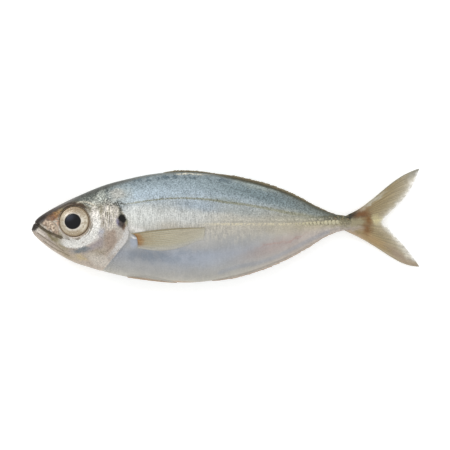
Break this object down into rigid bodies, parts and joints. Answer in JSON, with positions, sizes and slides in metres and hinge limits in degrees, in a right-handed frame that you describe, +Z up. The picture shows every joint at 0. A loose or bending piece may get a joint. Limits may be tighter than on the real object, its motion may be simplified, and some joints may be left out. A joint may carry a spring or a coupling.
{
  "type": "whole raw fish",
  "caption": "Whole raw silver fish lying on its flank: deep flattened body with large eyes, closed mouth, gill covers, folded back, belly and side fins, and a forked tail.",
  "frame": {"origin": "middle of the fish's length and depth, on the board it lies on (bottom centre of its bounding box)", "axes": "+X from the snout towards the tail, +Y from belly to back, +Z up, out of the left flank that faces up"},
  "size_m": [0.16, 0.0472, 0.0184],
  "materials": {
    "skin": "wet silvery fish skin, blue grey on the back, silver on the flank and pale on the belly",
    "eye": "wet glossy eyeball, cream iris round a black pupil",
    "fin": "thin translucent fin, tan, with fine rays"
  },
  "bodies": {
    "root": {"fish": "skin", "eye_left": "eye", "eye_right": "eye"}
  },
  "joints": []
}
